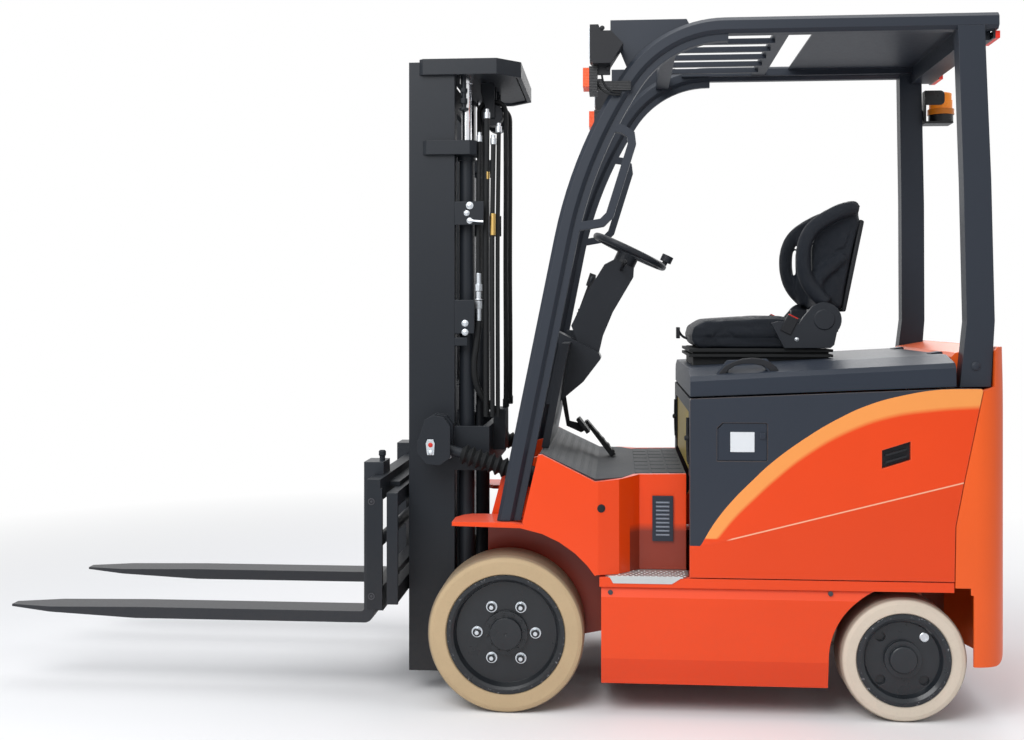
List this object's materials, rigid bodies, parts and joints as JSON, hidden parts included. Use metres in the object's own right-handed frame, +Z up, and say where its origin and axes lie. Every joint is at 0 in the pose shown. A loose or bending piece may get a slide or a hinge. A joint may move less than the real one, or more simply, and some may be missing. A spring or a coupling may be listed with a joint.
{
  "type": "electric forklift",
  "caption": "Orange and charcoal four-wheel electric forklift with cream cushion tyres, a lifting and tilting mast, raised forks and an overhead guard.",
  "frame": {"origin": "on the floor, in the middle of the whole truck's length and width", "axes": "+X to the rear (the forks point to -X), +Y to the truck's right, +Z up"},
  "size_m": [3.568, 1.085, 2.3663],
  "materials": {
    "orange_paint": "gloss",
    "charcoal_paint": "satin",
    "black_paint": "satin",
    "cast_orange": "gloss",
    "forged_black": "satin",
    "tread_steel": "brushed",
    "chrome_rod": "polished",
    "cream_tyre": "matt",
    "black_rim": "gloss",
    "black_plastic": "matt",
    "black_vinyl": "satin",
    "black_rubber": "matt",
    "chain_steel": "oiled",
    "lamp_lens": "clear",
    "amber_lens": "gloss",
    "battery_case": "matt"
  },
  "bodies": {
    "chassis": {"chassis_frame": "orange_paint", "step_plates": "tread_steel", "front_cowl": "orange_paint", "floor_plate": "black_rubber", "vent_grilles": "charcoal_paint", "side_panel_left": "orange_paint", "side_panel_right": "orange_paint", "battery": "battery_case", "bay_front": "black_paint", "counterweight": "cast_orange", "guard_sides": "charcoal_paint", "guard_roof": "charcoal_paint", "head_lamps": "black_plastic", "signal_lamps": "amber_lens", "beacon": "amber_lens", "dash_console": "black_plastic", "controls": "black_plastic", "drive_axle": "black_paint", "steer_axle": "black_paint"},
    "front_wheel_left": {"front_tyre_left": "cream_tyre", "front_rim_left": "black_rim"},
    "front_wheel_right": {"front_tyre_right": "cream_tyre", "front_rim_right": "black_rim"},
    "rear_wheel_left": {"rear_tyre_left": "cream_tyre", "rear_rim_left": "black_rim"},
    "rear_wheel_right": {"rear_tyre_right": "cream_tyre", "rear_rim_right": "black_rim"},
    "knuckle_left": {"knuckle_left": "black_paint"},
    "knuckle_right": {"knuckle_right": "black_paint"},
    "steering_wheel": {"steering_wheel": "black_plastic"},
    "hood": {"hood": "charcoal_paint", "seat_base": "black_rubber", "seat_cushion": "black_vinyl", "seat_back": "black_vinyl"},
    "charge_flap": {"charge_flap": "charcoal_paint"},
    "mast": {"outer_mast": "black_paint", "lift_barrels": "black_paint", "mast_hoses": "black_rubber"},
    "inner": {"inner_mast": "black_paint", "lift_rods": "chrome_rod"},
    "free_head": {"free_lift_head": "chrome_rod", "lift_chains": "chain_steel"},
    "carriage": {"carriage": "black_paint"},
    "shifter": {"sideshift_frame": "black_paint", "forks": "forged_black"},
    "tilt_barrels": {"tilt_barrels": "black_paint", "tilt_boots": "black_rubber"},
    "tilt_rods": {"tilt_rods": "chrome_rod"}
  },
  "joints": [
    {"name": "front_wheel_left_spin", "type": "hinge", "parent": "chassis", "child": "front_wheel_left", "pos_m": [0.044, -0.449, 0.2667], "axis": [0, 1, 0], "continuous": true},
    {"name": "front_wheel_right_spin", "type": "hinge", "parent": "chassis", "child": "front_wheel_right", "pos_m": [0.044, 0.449, 0.2667], "axis": [0, 1, 0], "continuous": true},
    {"name": "steer_left", "type": "hinge", "parent": "chassis", "child": "knuckle_left", "pos_m": [1.368, -0.345, 0.209], "axis": [0, 0, 1], "range_deg": [-70, 70]},
    {"name": "steer_right", "type": "hinge", "parent": "chassis", "child": "knuckle_right", "pos_m": [1.368, 0.345, 0.209], "axis": [0, 0, 1], "range_deg": [-70, 70]},
    {"name": "rear_wheel_left_spin", "type": "hinge", "parent": "knuckle_left", "child": "rear_wheel_left", "pos_m": [1.368, -0.455, 0.2064], "axis": [0, 1, 0], "continuous": true},
    {"name": "rear_wheel_right_spin", "type": "hinge", "parent": "knuckle_right", "child": "rear_wheel_right", "pos_m": [1.368, 0.455, 0.2064], "axis": [0, 1, 0], "continuous": true},
    {"name": "steering_wheel_turn", "type": "hinge", "parent": "chassis", "child": "steering_wheel", "pos_m": [0.4685, 0, 1.59], "axis": [0.4321, 0, 0.9018], "continuous": true},
    {"name": "mast_tilt", "type": "hinge", "parent": "chassis", "child": "mast", "pos_m": [-0.081, 0, 0.25], "axis": [0, 1, 0], "range_deg": [-6, 8]},
    {"name": "tilt_barrel_swing", "type": "hinge", "parent": "chassis", "child": "tilt_barrels", "pos_m": [0.374, 0, 0.704], "axis": [0, 1, 0], "range_deg": [-4, 5]},
    {"name": "tilt_rod_slide", "type": "slide", "parent": "tilt_barrels", "child": "tilt_rods", "axis": [-0.9521, 0, 0.3058], "range_m": [-0.082, 0.062], "deforming": ["tilt_boots"]},
    {"name": "mast_lift", "type": "slide", "parent": "mast", "child": "inner", "axis": [0, 0, 1], "range_m": [0, 1.45], "deforming": ["mast_hoses"]},
    {"name": "carriage_lift", "type": "slide", "parent": "inner", "child": "carriage", "axis": [0, 0, 1], "range_m": [-0.225, 1.3]},
    {"name": "free_head_lift", "type": "slide", "parent": "inner", "child": "free_head", "axis": [0, 0, 1], "range_m": [-0.114, 0.652], "deforming": ["lift_chains"]},
    {"name": "side_shift", "type": "slide", "parent": "carriage", "child": "shifter", "axis": [0, 1, 0], "range_m": [-0.1, 0.1]},
    {"name": "hood_lid", "type": "hinge", "parent": "chassis", "child": "hood", "pos_m": [1.54, 0, 1.218], "axis": [0, 1, 0], "range_deg": [0, 50]},
    {"name": "charge_flap_hinge", "type": "hinge", "parent": "chassis", "child": "charge_flap", "pos_m": [0.7568, -0.5375, 0.9265], "axis": [0, 0, -1], "range_deg": [0, 110]}
  ],
  "couplings": [
    {"joint": "steer_right", "follows": "steer_left", "ratio": 1},
    {"joint": "tilt_barrel_swing", "follows": "mast_tilt", "ratio": 0.533},
    {"joint": "tilt_rod_slide", "follows": "mast_tilt", "m_per_rad": -0.574},
    {"joint": "free_head_lift", "follows": "carriage_lift", "ratio": 0.5}
  ]
}
